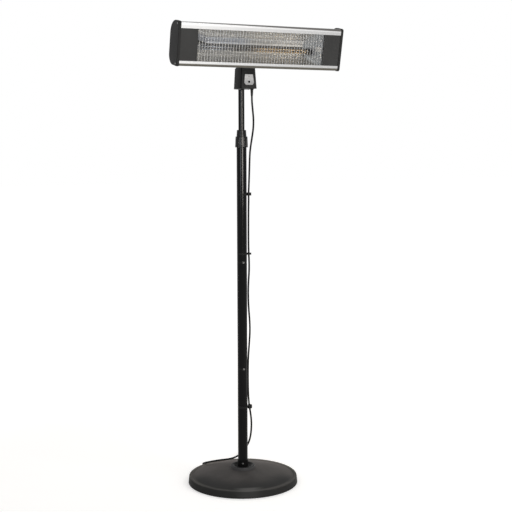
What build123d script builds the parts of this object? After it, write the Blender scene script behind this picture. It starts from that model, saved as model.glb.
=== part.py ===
"""Free-standing infrared patio heater: cast base, sectioned pole, telescopic mast, tilting lamp head."""
import os
from math import cos, hypot, pi, radians, sin, sqrt, tan

from build123d import *

# Fits, in millimetres
turn_gap = 0.3  # between pieces that move past each other
slide_fit = 0.08  # radial, between telescoping pieces
seat_fit = 0.05  # radial, between pieces fixed together

# Cast base
base_d = 403.0
foot_out = 1.5  # how far the feet stand out below the rim
foot_d = 18.0
foot_sunk = 3.5
foot_count = 4
rim_h = 27.0
rim_draft = 3.0
rim_land = 24.0
rim_crest = 8.0
rim_slope = 4.0
rim_round = 3.5
groove_z = 24.0
seat_z = 52.6  # flat seat at the middle of the dome
seat_r = 49.0
base_wall = 6.0
ballast_z = 6.0  # underside of the cement filling
boss_r = 26.0
boss_z = 24.0
stand_turn = -24.0  # the stand's own front, turned about the pole from the head's

# Foot collar and pole socket
collar_d = 91.0
collar_crest = 7.0  # width of the crest before it dishes inwards
collar_h = 11.5
collar_draft = 1.0
collar_round = 2.8
socket_flange_d = 62.0
socket_flange_t = 7.0
socket_wall = 1.3
socket_h = 22.5
socket_screw_d = 7.0
socket_screw_z = 12.5
bolt_d = 10.0
bolt_head_af = 17.0
bolt_head_h = 6.4
washer_d = 30.0
washer_t = 2.5
bolt_grip = 12.0  # thread length in the socket

# Pole of three sections
pole_d = 36.0
pole_wall = 1.5
pole_edge = 0.9
lower_len = 365.4
middle_len = 392.0
upper_len = 445.0
joiner_len = 90.0
joiner_wall = 2.0

# Twist clutch at the top of the pole
nut_d_low = 46.2
nut_d_top = 43.0
nut_h = 39.0
nut_below = 31.0  # reach of the nut below the pole's top
nut_flutes = 16
flute_r = 2.4
flute_depth = 0.7
collet_rise = 31.0
collet_d_low = 36.0
collet_d_top = 32.6
collet_neck_d = 33.4
collet_stem = 36.0
collet_flange_t = 2.0
collet_flange_out = 0.9
collet_slots = 6
slot_w = 2.0
slot_h = 19.0

# Telescopic mast
mast_d = 22.0
mast_wall = 1.5
mast_in = 297.0  # length inside the pole at rest
mast_out = 144.0  # length showing between collet and control box
bush_h = 40.0
bush_lip = 4.0

# Control box
box_w = 62.0
box_front = 68.0  # front face ahead of the mast's axis
box_back_y = -11.3  # centre of the round back
box_h = 72.0
box_draft = 3.2  # degrees
box_wall = 2.5
box_corner = 6.0
box_split_y = -14.0
socket_boss_d = 28.0
box_rib_t = 3.0
plate_w_low = 37.0
plate_w_top = 30.0
plate_low = 12.4
plate_top = 49.0
plate_shoulder = 7.5  # height of the cut bottom corners
plate_cut = 5.0  # width of the cut bottom corners
plate_t = 1.2
button_d = 7.5
button_up = 23.0
button_out = 1.6
button_travel = 1.5
button_flange = 1.5
switch_w = 14.0
lens_d = 3.2
lens_up = 42.0
lens_out = 0.5
gland_x = 18.0
gland_y = -51.0
gland_flange_d = 13.0
gland_flange_t = 3.0
gland_d_top = 10.5
gland_d_low = 7.8
gland_len = 25.0
box_screw_d = 6.0
box_screw_x = 17.0
box_screw_y = -25.0
box_tongue_w = 46.0
box_tongue_y = -34.0

# Tilt joint
pivot_ahead = 64.0  # pivot ahead of the mast's axis
pivot_up = 85.0  # pivot above the box
pivot_back = 118.0  # pivot behind the head's front plane
head_tilt = 12.0  # degrees, nose down at rest
yoke_t = 3.0
yoke_gap = 34.0  # between the cheeks
yoke_base_y0 = -40.0
yoke_base_y1 = 2.0
eye_r = 13.0
pivot_d = 8.0
pivot_head_d = 15.0
pivot_head_h = 5.0
ear_t = 3.0
ear_eye_r = 12.0
knob_d = 34.0
knob_t = 14.0
knob_lobes = 6
knob_lobe_r = 6.0
knob_hub_d = 18.0
knob_hub_t = 5.0
yoke_screw_d = 7.0
screw_head_t = 2.4
screw_shank_d = 3.6

# Lamp head
head_len = 615.0
head_h = 145.0
head_depth = 77.0
head_taper = 10.0  # degrees
head_wall = 2.0
rail_round = 7.0
window_h = 106.5
window_drop = 1.75  # window's middle below the head's
lip_depth = 4.8
lip_t = 2.0
back_half = 44.0
shoulder_in = 14.0  # shoulder ahead of the flat back
shoulder_round = 18.0
back_round = 6.0
port_y = 9.0
port_in = 7.0  # screw port below the housing's outer edge
port_r = 5.0
port_hole_r = 1.9
cap_t = 9.0
cap_proud = 1.4
cap_edge = 2.5
cap_front_r = 8.0
cap_back_top_r = 45.0
cap_back_low_r = 36.0
cap_screw_d = 7.0
cap_screw_len = 18.0
tongue_len = 10.0
tongue_t = 3.0
tongue_w = 60.0
cheek_w = 62.0
cheek_t = 2.0
cheek_sunk = 0.6  # panel behind the rails' front
cheek_hold = 4.0  # overlap behind the lips
wire_d = 2.0
wire_count = 45
wire_margin = 8.35
wire_sink = 0.3  # weld depth where wires cross
brace_v = 28.0  # height of the two cross wires from the middle
brace_up = 20.0
brace_r = 8.0
mirror_t = 0.8
mirror_edge_v = 55.0
mirror_bends = ((20.0, 51.0), (36.0, 40.0), (48.0, 24.0), (52.6, 8.0))  # depth behind its edge, height
mirror_slant = 56.0  # run of each end wall along the head
lamp_d = 20.0
lamp_wall = 1.2
lamp_short = 12.0  # end of the glass inside the window's end
lamp_y = 36.0
lamp_drop = 11.5  # lamp below the window's middle
element_w = 6.0
element_t = 1.4
element_lead_d = 1.6
ceramic_d = 16.0
ceramic_len = 30.0
terminal_len = 16.0
terminal_h = 17.0
terminal_t = 7.0
terminal_deep = 10.5  # behind the mirror's mouth
mirror_hole_d = 28.0
holder_t = 2.0
holder_w = 26.0
holder_near = 27.5
holder_foot = 16.0
holder_inset = 27.0  # from the end of the ceramic to its holder's far side
bracket_w = 60.0
bracket_h = 70.0
bracket_t = 3.0
bracket_screw_x = 23.0
bracket_screw_v = 26.0

# Cable clips, mains cord and plug
cord_d = 6.6
clip_spots = ((24.6, 1063.0), (24.2, 848.0), (25.3, 282.0))  # cord's axis from the pole's axis, height
clip_h = 7.0
clip_band_t = 1.8
clip_mouth = 26.0
clip_eye_d = 13.0
clip_ease = 1.0
clip_lug = 3.0
boot_len = 24.0
boot_d0 = 8.4
boot_d1 = 14.0
boot_rings = 4
plug_w = 26.0
plug_h = 23.0
plug_len = 30.0
plug_round = 5.0
plug_axis_z = 12.0
pin_len = 17.0
blade_w = 6.4
blade_t = 1.6
blade_gap = 12.7
earth_d = 4.8
earth_drop = 6.0

# Heights that follow from the sizes above
base_r = base_d / 2
pole_foot_z = seat_z + socket_flange_t
joint_low_z = pole_foot_z + lower_len
joint_high_z = joint_low_z + middle_len
pole_top_z = joint_high_z + upper_len
nut_z = pole_top_z - nut_below
collet_top_z = pole_top_z + collet_rise
mast_foot_z = pole_top_z - mast_in
box_z = collet_top_z + mast_out
box_top_z = box_z + box_h
nut_top_z = nut_z + nut_h
pole_bore = pole_d - 2 * pole_wall
window_len = head_len - 2 * (cap_t + cheek_w)
lamp_len = window_len - 2 * lamp_short
shoulder_y = head_depth - shoulder_in
pivot_z = box_top_z + pivot_up
bottom_up = (Align.CENTER, Align.CENTER, Align.MIN)
top_down = (Align.CENTER, Align.CENTER, Align.MAX)
pieces = {}


def turned(shape):
    return Rot(0, 0, stand_turn) * shape


def tube(outer_d, inner_d, low_z, high_z):
    height = high_z - low_z
    return Pos(0, 0, low_z) * (
        Cylinder(outer_d / 2, height, align=bottom_up) - Cylinder(inner_d / 2, height, align=bottom_up)
    )


def rod_x(d, x0, x1):
    return Pos(x0, 0, 0) * Rot(0, 90, 0) * Cylinder(d / 2, x1 - x0, align=bottom_up)


def pan_screw(head_d, length):
    """A round-headed screw along Z with its head's seat at the origin."""
    head = Cylinder(head_d / 2, screw_head_t, align=bottom_up)
    head = fillet(head.edges().group_by(Axis.Z)[-1], screw_head_t * 0.45)
    return head + Cylinder(screw_shank_d / 2, length, align=top_down)


def closed(*edges):
    return make_face(Curve() + list(edges))


# Base: a domed shell with a raised rim, filled with cement below
groove_r = base_r - rim_crest - rim_draft - rim_slope
dome_centre_z = (groove_r**2 - seat_r**2 + groove_z**2 - seat_z**2) / (2 * (groove_z - seat_z))
dome_ball_r = hypot(seat_r, seat_z - dome_centre_z)


def dome_z(r):
    return dome_centre_z + sqrt(dome_ball_r**2 - r**2)


def base_outline():
    mid_r = (seat_r + groove_r) / 2
    rim_edge_r = base_r - rim_draft
    wall = Polyline(
        (0, foot_out),
        (base_r, foot_out),
        (rim_edge_r, rim_h),
        (rim_edge_r - rim_crest, rim_h),
        (groove_r, groove_z),
    )
    dome = ThreePointArc((groove_r, groove_z), (mid_r, dome_z(mid_r)), (seat_r, seat_z))
    face = closed(wall, dome, Polyline((seat_r, seat_z), (0, seat_z), (0, foot_out)))
    rim = [v for v in face.vertices() if v.Y > rim_h - 0.1 and v.X > groove_r]
    return fillet(rim, rim_round)


def base_hollow(low_z, play=0.0):
    """Half section of the space under the dome, around the bolt's well."""
    outer_r = base_r - rim_land - play
    inner_r = boss_r + play
    radii = (outer_r, (outer_r + inner_r) / 2, inner_r)
    roof = ThreePointArc(*[(r, dome_z(r) - base_wall - play) for r in radii])
    return closed(roof, Polyline(roof @ 1, (inner_r, low_z), (outer_r, low_z), roof @ 0))


def foot_places():
    return PolarLocations(base_r - rim_land / 2, foot_count, start_angle=stand_turn - 90)


def base_casting():
    body = revolve(Plane.XZ * base_outline(), Axis.Z)
    body -= Cylinder(boss_r, boss_z, align=bottom_up)
    body -= revolve(Plane.XZ * base_hollow(0), Axis.Z)
    body -= Cylinder(bolt_d / 2 + turn_gap, seat_z + 1, align=bottom_up)
    pocket = Cylinder(foot_d / 2 + seat_fit, foot_out + foot_sunk, align=bottom_up)
    return body - [loc * pocket for loc in foot_places()]


def rubber_feet():
    foot = Cylinder(foot_d / 2, foot_out + foot_sunk, align=bottom_up)
    foot = chamfer(foot.edges().group_by(Axis.Z)[0], 0.6)
    return Compound([loc * foot for loc in foot_places()])


def foot_collar():
    """A ring with a round crest, dished inwards to the socket's flange."""
    low_r = socket_flange_d / 2 + seat_fit
    outer_r = collar_d / 2
    top = seat_z + collar_h
    crest_r = outer_r - collar_draft
    points = [
        (low_r, seat_z),
        (outer_r, seat_z),
        (crest_r, top),
        (crest_r - collar_crest, top),
        (low_r, pole_foot_z),
    ]
    section = make_face(Polyline(points, close=True))
    crest = section.vertices().group_by(Axis.Y)[-1]
    return revolve(Plane.XZ * fillet(crest, collar_round), Axis.Z)


def pole_socket():
    flange = Pos(0, 0, seat_z) * Cylinder(socket_flange_d / 2, socket_flange_t, align=bottom_up)
    bore = pole_d + 2 * seat_fit
    sleeve = tube(bore + 2 * socket_wall, bore, pole_foot_z, pole_foot_z + socket_h)
    plug = Pos(0, 0, pole_foot_z) * Cylinder(pole_bore / 2 - turn_gap, bolt_grip, align=bottom_up)
    hole = Pos(0, 0, seat_z) * Cylinder(bolt_d / 2 + seat_fit, bolt_grip + socket_flange_t, align=bottom_up)
    return flange + sleeve + plug - hole - socket_screw_place() * Cylinder(screw_shank_d / 2, 20)


def socket_screw_place():
    sleeve_r = pole_d / 2 + seat_fit + socket_wall
    return Rot(0, 0, stand_turn) * Pos(0, -sleeve_r, pole_foot_z + socket_screw_z) * Rot(90, 0, 0)


def base_bolt():
    low = boss_z - washer_t - bolt_head_h
    head = Pos(0, 0, low) * extrude(RegularPolygon(bolt_head_af / 2, 6, major_radius=False), bolt_head_h)
    shank = Pos(0, 0, low) * Cylinder(bolt_d / 2, pole_foot_z + bolt_grip - 1 - low, align=bottom_up)
    return head + shank


pieces["base_casting"] = base_casting()
pieces["base_ballast"] = revolve(Plane.XZ * base_hollow(ballast_z, seat_fit), Axis.Z)
pieces["rubber_feet"] = rubber_feet()
pieces["foot_collar"] = foot_collar()
pieces["pole_socket"] = pole_socket()
pieces["socket_screw"] = socket_screw_place() * pan_screw(socket_screw_d, socket_wall)
pieces["base_bolt"] = base_bolt()
pieces["base_washer"] = tube(washer_d, bolt_d + 2 * seat_fit, boss_z - washer_t, boss_z)


# Pole sections, their joiners and the clutch
def pole_section(low_z, high_z):
    section = tube(pole_d, pole_bore, low_z, high_z)
    rings = section.edges().filter_by(GeomType.CIRCLE).sort_by(SortBy.RADIUS)[-2:]
    return chamfer(rings, pole_edge)


def joiner(joint_z):
    outer = pole_bore - 2 * seat_fit
    return tube(outer, outer - 2 * joiner_wall, joint_z - joiner_len / 2, joint_z + joiner_len / 2)


def clutch_collet():
    bore = mast_d + 2 * slide_fit
    stem_low = pole_top_z - collet_stem
    stem = Pos(0, 0, stem_low) * Cylinder(pole_bore / 2 - seat_fit, collet_stem, align=bottom_up)
    flange_r = collet_neck_d / 2 + collet_flange_out
    flange = Pos(0, 0, pole_top_z) * Cylinder(flange_r, collet_flange_t, align=bottom_up)
    jaws_z = nut_top_z + turn_gap
    neck = Pos(0, 0, pole_top_z) * Cylinder(collet_neck_d / 2, jaws_z - pole_top_z, align=bottom_up)
    jaws_h = collet_top_z - jaws_z
    jaws = Pos(0, 0, jaws_z) * Cone(collet_d_low / 2, collet_d_top / 2, jaws_h, align=bottom_up)
    jaws = fillet(jaws.edges().group_by(Axis.Z)[-1], 1.2)
    body = stem + flange + neck + jaws
    body -= Pos(0, 0, stem_low) * Cylinder(bore / 2, collet_stem + collet_rise, align=bottom_up)
    slot = Pos(0, 0, collet_top_z) * Box(collet_d_low, slot_w, 2 * slot_h)
    half_turns = PolarLocations(0, collet_slots // 2, angular_range=180)
    return body - [loc * slot for loc in half_turns]


def clutch_nut():
    grip = Pos(0, 0, nut_z) * Cone(nut_d_low / 2, nut_d_top / 2, nut_h, align=bottom_up)
    grip = fillet(grip.edges().filter_by(GeomType.CIRCLE), 1.6)
    mean_r = (nut_d_low + nut_d_top) / 4
    flute = Pos(0, 0, nut_z) * Cylinder(flute_r, nut_h, align=bottom_up)
    flutes = PolarLocations(mean_r + flute_r - flute_depth, nut_flutes)
    skirt_bore = pole_d / 2 + turn_gap
    ledge_z = pole_top_z + collet_flange_t + turn_gap
    grip -= [loc * flute for loc in flutes]
    grip -= Pos(0, 0, nut_z) * Cylinder(skirt_bore, ledge_z - nut_z, align=bottom_up)
    return grip - Pos(0, 0, ledge_z) * Cylinder(collet_neck_d / 2 + turn_gap, nut_h, align=bottom_up)


def glide_bush():
    low = mast_foot_z - bush_lip
    bush = tube(pole_bore - 2 * slide_fit, mast_d + 2 * slide_fit, mast_foot_z - turn_gap, low + bush_h)
    lip = tube(pole_bore - 2 * slide_fit, mast_d - 2 * mast_wall, low, mast_foot_z - turn_gap)
    return bush + lip


pieces["lower_pole"] = pole_section(pole_foot_z, joint_low_z)
pieces["middle_pole"] = pole_section(joint_low_z, joint_high_z)
pieces["upper_pole"] = pole_section(joint_high_z, pole_top_z)
pieces["lower_joiner"] = joiner(joint_low_z)
pieces["upper_joiner"] = joiner(joint_high_z)
pieces["clutch_collet"] = clutch_collet()
pieces["clutch_nut"] = clutch_nut()
pieces["glide_bush"] = glide_bush()
pieces["mast_tube"] = tube(mast_d, mast_d - 2 * mast_wall, mast_foot_z, box_top_z - box_wall)

# Control box: flat front, straight sides, round back about the mast, drafted upwards
draft_rate = tan(radians(box_draft))


def box_plan(up, inset=0.0):
    shrink = up * draft_rate + inset
    half = box_w / 2 - shrink
    front_y = -box_front + shrink
    corner = box_corner - inset / 2
    side = Polyline((half, box_back_y), (half, front_y), (-half, front_y), (-half, box_back_y))
    face = closed(side, ThreePointArc((-half, box_back_y), (0, box_back_y + half), (half, box_back_y)))
    front = [v for v in face.vertices() if v.Y < front_y + 0.1]
    return fillet(front, corner)


def box_solid(low, high, inset=0.0):
    sections = [Pos(0, 0, box_z + up) * box_plan(up, inset) for up in (low, high)]
    return loft(sections, ruled=True)


def front_place(up):
    """A place on the box's front face, X across, Y up the face and Z outwards."""
    spot = (0, -box_front + up * draft_rate, box_z + up)
    face_tilt = radians(box_draft)
    return Plane(origin=spot, x_dir=(1, 0, 0), z_dir=(0, -cos(face_tilt), sin(face_tilt))).location


def box_shell():
    shell = box_solid(0, box_h) - box_solid(box_wall, box_h - box_wall, box_wall)
    boss = tube(socket_boss_d, mast_d, box_z, box_top_z - box_wall)
    rib_room = box_solid(0, box_h, box_wall / 2)
    rib = Pos(0, 0, box_z) * Box(box_w, box_rib_t, box_h, align=bottom_up) & rib_room
    return shell + boss + rib


def half_space(front):
    size = 4 * box_w
    side = Align.MAX if front else Align.MIN
    return Pos(0, box_split_y, box_z - 1) * Box(size, size, size, align=(Align.CENTER, side, Align.MIN))


def button_bore(extra):
    return front_place(button_up) * Cylinder(button_d / 2 + extra, 4 * box_wall)


def control_plate():
    low = plate_low - button_up
    high = plate_top - button_up
    half_low = plate_w_low / 2
    half_top = plate_w_top / 2
    face = make_face(
        Polyline(
            (-half_low + plate_cut, low),
            (half_low - plate_cut, low),
            (half_low, low + plate_shoulder),
            (half_top, high),
            (-half_top, high),
            (-half_low, low + plate_shoulder),
            close=True,
        )
    )
    face = fillet(face.vertices(), 1.8)
    return front_place(button_up) * extrude(face, plate_t)


button_seat = -box_wall - turn_gap - button_flange


def power_button():
    top = plate_t + button_out
    cap = Pos(0, 0, button_seat) * Cylinder(button_d / 2, top - button_seat, align=bottom_up)
    cap = fillet(cap.edges().group_by(Axis.Z)[-1], 0.8)
    flange_r = button_d / 2 + button_flange
    flange = Pos(0, 0, button_seat) * Cylinder(flange_r, button_flange, align=bottom_up)
    return front_place(button_up) * (cap + flange)


def switch_block():
    face = button_seat - button_travel - turn_gap
    block = Pos(0, 0, face) * Box(switch_w, switch_w, switch_w / 2, align=top_down)
    gap = -box_wall - face
    posts = Pos(0, 0, face) * Box(switch_w, switch_w, gap, align=bottom_up)
    posts -= Pos(0, 0, face) * Box(switch_w - 2, switch_w + 1, gap, align=bottom_up)
    return front_place(button_up) * (block + posts)


def pilot_lens():
    length = plate_t + box_wall
    lens = Pos(0, 0, plate_t + lens_out) * Cylinder(lens_d / 2, length, align=top_down)
    return front_place(lens_up) * fillet(lens.edges().group_by(Axis.Z)[-1], lens_out)


def cord_gland():
    flange = Cylinder(gland_flange_d / 2, gland_flange_t, align=top_down)
    boot = Pos(0, 0, -gland_len) * Cone(
        gland_d_low / 2, gland_d_top / 2, gland_len - gland_flange_t, align=bottom_up
    )
    return Pos(gland_x, gland_y, box_z) * (flange + boot)


def box_screw_places():
    return [Pos(x, box_screw_y, box_z) * Rot(180, 0, 0) for x in (-box_screw_x, box_screw_x)]


def box_tongue():
    """A tongue of the rear shell that lies on the front shell's floor."""
    return Pos(0, box_tongue_y, box_z + box_wall) * Box(
        box_tongue_w, -box_tongue_y, box_wall, align=(Align.CENTER, Align.MIN, Align.MIN)
    )


def yoke_screw_places():
    x = yoke_gap / 2 - yoke_screw_d
    inset = yoke_screw_d + 1
    ys = (yoke_base_y0 + inset, yoke_base_y1 - inset)
    return [Pos(side * x, y, box_top_z + yoke_t) for side in (-1, 1) for y in ys]


shell = box_shell()
lens_bore = front_place(lens_up) * Cylinder(lens_d / 2 + seat_fit, 4 * box_wall)
shank_bore = Cylinder(screw_shank_d / 2 + seat_fit, 4 * (box_wall + yoke_t))
shell_cuts = [place * shank_bore for place in box_screw_places() + yoke_screw_places()]
mast_room = Pos(0, 0, box_z) * Cylinder(mast_d / 2 + seat_fit, box_h - box_wall, align=bottom_up)
front_shell = (shell & half_space(True)) - shell_cuts
pieces["box_front_shell"] = front_shell - [button_bore(turn_gap), lens_bore]
pieces["box_rear_shell"] = (shell & half_space(False)) + box_tongue() - mast_room - shell_cuts
pieces["control_plate"] = control_plate() - [button_bore(turn_gap), lens_bore]
pieces["power_button"] = power_button()
pieces["switch_block"] = switch_block()
pieces["pilot_lens"] = pilot_lens()
pieces["cord_gland"] = cord_gland()
box_screw = pan_screw(box_screw_d, 2 * box_wall)
pieces["box_screws"] = Compound([place * box_screw for place in box_screw_places()])

# Tilt joint: a yoke on the box, a bracket on the head, a clamp bolt and its hand knob
pivot = Pos(0, -pivot_ahead, pivot_z)
head_place = pivot * Rot(head_tilt, 0, 0) * Pos(0, -pivot_back, 0)
cheek_x = yoke_gap / 2
ear_x = cheek_x - turn_gap - ear_t


def lug(eye_spot, radius, foot_start, foot_end, thickness):
    """A plate across X: a round eye drawn to a straight foot, places given as Y and Z."""
    eye = Edge.make_circle(radius).moved(Pos(*eye_spot))
    foot = Edge.make_line(foot_start, foot_end)
    return extrude(Plane.YZ * make_hull(ShapeList([eye, foot])), thickness)


def tilt_yoke():
    cheek = lug(
        (-pivot_ahead, pivot_z), eye_r, (yoke_base_y0, box_top_z), (yoke_base_y1, box_top_z), yoke_t
    )
    depth = yoke_base_y1 - yoke_base_y0
    width = yoke_gap + 2 * yoke_t
    plate = Pos(0, yoke_base_y0, box_top_z) * Box(
        width, depth, yoke_t, align=(Align.CENTER, Align.MIN, Align.MIN)
    )
    body = plate + Pos(cheek_x, 0, 0) * cheek + Pos(-cheek_x - yoke_t, 0, 0) * cheek
    body -= pivot * rod_x(pivot_d + 2 * seat_fit, -width, width)
    shank = Cylinder(screw_shank_d / 2 + seat_fit, 4 * yoke_t)
    return body - [place * shank for place in yoke_screw_places()]


def pivot_bolt():
    outer = cheek_x + yoke_t
    head = rod_x(pivot_head_d, -outer - pivot_head_h, -outer)
    head = chamfer(head.edges().group_by(Axis.X)[0], 1)
    return pivot * (head + rod_x(pivot_d, -outer, outer + knob_hub_t + knob_t - 3))


def tilt_knob():
    start = cheek_x + yoke_t + turn_gap
    hub = rod_x(knob_hub_d, start, start + knob_hub_t)
    lobes = PolarLocations(knob_d / 2 - knob_lobe_r, knob_lobes)
    outline = Circle(knob_d / 2 - knob_lobe_r) + [loc * Circle(knob_lobe_r) for loc in lobes]
    disc = extrude(fillet(outline.vertices(), 2), knob_t)
    disc = chamfer(disc.edges().group_by(Axis.Z)[-1], 1)
    bore = rod_x(pivot_d + 2 * slide_fit, start, start + knob_hub_t + knob_t - 2)
    return pivot * (hub + Pos(start + knob_hub_t, 0, 0) * Rot(0, 90, 0) * disc - bore)


def head_bracket():
    root_y = head_depth
    root_half = bracket_h / 4
    ear = lug((pivot_back, 0), ear_eye_r, (root_y, -root_half), (root_y, root_half), ear_t)
    plate = Pos(0, root_y, 0) * Box(
        bracket_w, bracket_t, bracket_h, align=(Align.CENTER, Align.MIN, Align.CENTER)
    )
    plate = fillet(plate.edges().filter_by(Axis.Y), 6)
    body = plate + Pos(ear_x, 0, 0) * ear + Pos(-ear_x - ear_t, 0, 0) * ear
    body -= Pos(0, pivot_back, 0) * rod_x(pivot_d + 2 * slide_fit, -bracket_w, bracket_w)
    shank = Cylinder(screw_shank_d / 2 + seat_fit, 6 * bracket_t)
    return body - [place * shank for place in bracket_screw_places()]


def bracket_screw_places():
    y = head_depth + bracket_t
    spots = [(a * bracket_screw_x, b * bracket_screw_v) for a in (-1, 1) for b in (-1, 1)]
    return [Pos(x, y, v) * Rot(-90, 0, 0) for x, v in spots]


pieces["tilt_yoke"] = tilt_yoke()
yoke_screw = pan_screw(yoke_screw_d, yoke_t + box_wall)
pieces["yoke_screws"] = Compound([place * yoke_screw for place in yoke_screw_places()])
pieces["pivot_bolt"] = pivot_bolt()
pieces["tilt_knob"] = tilt_knob()

# Lamp head, drawn in its own frame: front plane at Y 0, window middle at Z 0
head = {}
housing_half = head_len / 2 - cap_t
half_h = head_h / 2
taper = radians(head_taper)
corner_v = half_h - rail_round * (1 - cos(taper)) + rail_round * (1 + sin(taper)) * tan(taper)
shoulder_v = corner_v - shoulder_y * tan(taper)
half_window = window_h / 2


def rounded(outline, spot, radius):
    return fillet(outline.vertices().sort_by_distance((*spot, 0))[0], radius)


def housing_outline():
    """The outside of the extrusion: rounded rails in front, tapering walls, a flat back."""
    points = [(0, corner_v), (shoulder_y, shoulder_v), (head_depth, back_half)]
    mirrored = [(y, -v) for y, v in reversed(points)]
    face = make_face(Polyline(points + mirrored, close=True))
    radii = (rail_round, shoulder_round, back_round)
    for (y, v), radius in zip(points, radii):
        face = rounded(face, (y, v), radius)
        face = rounded(face, (y, -v), radius)
    return face


def port_places():
    return [(port_y, side * (half_h - port_in)) for side in (-1, 1)]


def housing():
    outside = housing_outline()
    skin = outside - offset(outside, -head_wall, kind=Kind.INTERSECTION)
    skin -= Pos(0, -window_drop) * Rectangle(4 * head_wall, window_h)
    lip = Rectangle(lip_depth, lip_t, align=(Align.MIN, Align.MIN))
    skin += Pos(0, half_window - window_drop) * lip
    skin += Pos(0, -half_window - lip_t - window_drop) * lip
    skin += [Pos(*spot) * Circle(port_r) for spot in port_places()]
    skin -= [Pos(*spot) * Circle(port_hole_r) for spot in port_places()]
    skin = skin & outside
    shank = Cylinder(screw_shank_d / 2 + seat_fit, 6 * bracket_t)
    body = extrude(Plane.YZ * skin, housing_half, both=True)
    return body - [place * shank for place in bracket_screw_places()]


def end_cap(side):
    front_y = -cap_proud
    back_y = head_depth + cap_proud
    high = half_h + cap_proud
    outline = Pos((front_y + back_y) / 2, 0) * Rectangle(back_y - front_y, 2 * high)
    for spot, radius in (
        ((front_y, high), cap_front_r),
        ((front_y, -high), cap_front_r),
        ((back_y, high), cap_back_top_r),
        ((back_y, -high), cap_back_low_r),
    ):
        outline = rounded(outline, spot, radius)
    plate = extrude(Plane.YZ * outline, cap_t)
    plate = fillet(plate.edges().group_by(Axis.X)[-1], cap_edge)
    tongue_y = head_depth - head_wall - seat_fit
    plate += Pos(0, tongue_y, 0) * Box(
        tongue_len, tongue_t, tongue_w, align=(Align.MAX, Align.MAX, Align.CENTER)
    )
    hole = Rot(0, 90, 0) * Cylinder(screw_shank_d / 2 + seat_fit, 4 * cap_t)
    plate -= [Pos(0, y, v) * hole for y, v in port_places()]
    plate = Pos(housing_half, 0, 0) * plate
    return plate if side > 0 else mirror(plate, Plane.YZ)


def cap_screws():
    outer = housing_half + cap_t
    screws = []
    for side in (-1, 1):
        for y, v in port_places():
            screw = Pos(side * outer, y, v) * Rot(0, side * 90, 0) * pan_screw(cap_screw_d, cap_screw_len)
            screws.append(screw)
    return Compound(screws)


def cheek_panel(side):
    """A pressed tray: its face between the lips, its flanges hooked behind them."""
    half_face = half_window - seat_fit
    flange_y = lip_depth + seat_fit
    depth = flange_y + cheek_t - cheek_sunk
    tray = Pos(cheek_sunk, 0) * Rectangle(depth, 2 * half_face, align=(Align.MIN, Align.CENTER))
    tray -= Pos(cheek_sunk + cheek_t, 0) * Rectangle(
        depth, 2 * (half_face - cheek_t), align=(Align.MIN, Align.CENTER)
    )
    flange = Rectangle(cheek_t, cheek_t + cheek_hold, align=(Align.MIN, Align.MIN))
    tray += Pos(flange_y, half_face - cheek_t) * flange
    tray += Pos(flange_y, -half_face - cheek_hold) * flange
    panel = Pos(window_len / 2, 0, 0) * extrude(Plane.YZ * tray, cheek_w)
    return panel if side > 0 else mirror(panel, Plane.YZ)


wire_y = lip_depth + wire_d / 2 + seat_fit
brace_y = wire_y + wire_d - wire_sink
mirror_y = wire_y + wire_d / 2 + turn_gap


def grille():
    reach = window_len / 2 - wire_margin
    height = window_h + 2 * cheek_hold
    wire = Cylinder(wire_d / 2, height)
    pitch = 2 * reach / (wire_count - 1)
    body = Part() + [Pos(-reach + i * pitch, wire_y, 0) * wire for i in range(wire_count)]
    for v in (-brace_v, brace_v):
        path = FilletPolyline(
            (-reach, brace_y, v + brace_up),
            (-reach, brace_y, v),
            (reach, brace_y, v),
            (reach, brace_y, v + brace_up),
            radius=brace_r,
        )
        section = Plane(origin=path @ 0, z_dir=path % 0) * Circle(wire_d / 2)
        body += sweep(section, path)
    return body


def mirror_points():
    upper = [(mirror_y, mirror_edge_v)] + [(mirror_y + y, v) for y, v in mirror_bends]
    return upper + [(y, -v) for y, v in reversed(upper)]


def mirror_room(length, shrink=0.0):
    face = make_face(Polyline(mirror_points(), close=True))
    if shrink:
        face = offset(face, -shrink, kind=Kind.INTERSECTION)
    return extrude(Plane.YZ * face, length / 2, both=True)


def end_wedge(side, back_off):
    """The space beyond one slanted end wall."""
    deep = mirror_y + mirror_bends[-1][0]
    far = window_len / 2
    near = far - mirror_slant
    slope = (far - near) / (deep - mirror_y)
    low_y = mirror_y - 20
    high_y = deep + 20
    points = [
        (far + 20 * slope + back_off, low_y),
        (near - 20 * slope + back_off, high_y),
        (far + 100, high_y),
        (far + 100, low_y),
    ]
    face = make_face(Polyline([(side * x, y) for x, y in points], close=True))
    return Pos(0, 0, -head_h) * extrude(face, 2 * head_h)


def reflector():
    length = window_len - 2 * seat_fit
    trough = mirror_room(length) - mirror_room(length, mirror_t)
    mouth = Pos(0, mirror_y, 0) * Box(length, 2 * mirror_t, 2 * (mirror_edge_v - mirror_t))
    trough -= mouth
    return trough - [end_wedge(side, mirror_t) for side in (-1, 1)]


def reflector_end(side):
    room = mirror_room(window_len - 2 * seat_fit, mirror_t + seat_fit)
    wall = (room & end_wedge(side, 0)) - end_wedge(side, mirror_t)
    return wall - lamp_axis(rod_x(mirror_hole_d, -head_len, head_len))


def lamp_axis(shape):
    return Pos(0, lamp_y, -lamp_drop) * shape


def quartz_tube():
    half = lamp_len / 2
    return lamp_axis(rod_x(lamp_d, -half, half) - rod_x(lamp_d - 2 * lamp_wall, -half, half))


def carbon_element():
    half = lamp_len / 2
    strip = Box(lamp_len * 0.94, element_t, element_w)
    return lamp_axis(strip + rod_x(element_lead_d, -half, half))


def ceramic_ends():
    half = lamp_len / 2
    end = rod_x(ceramic_d, half, half + ceramic_len)
    end = chamfer(end.edges().group_by(Axis.X)[-1], 1.5)
    return Compound([lamp_axis(end), lamp_axis(mirror(end, Plane.YZ))])


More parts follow.
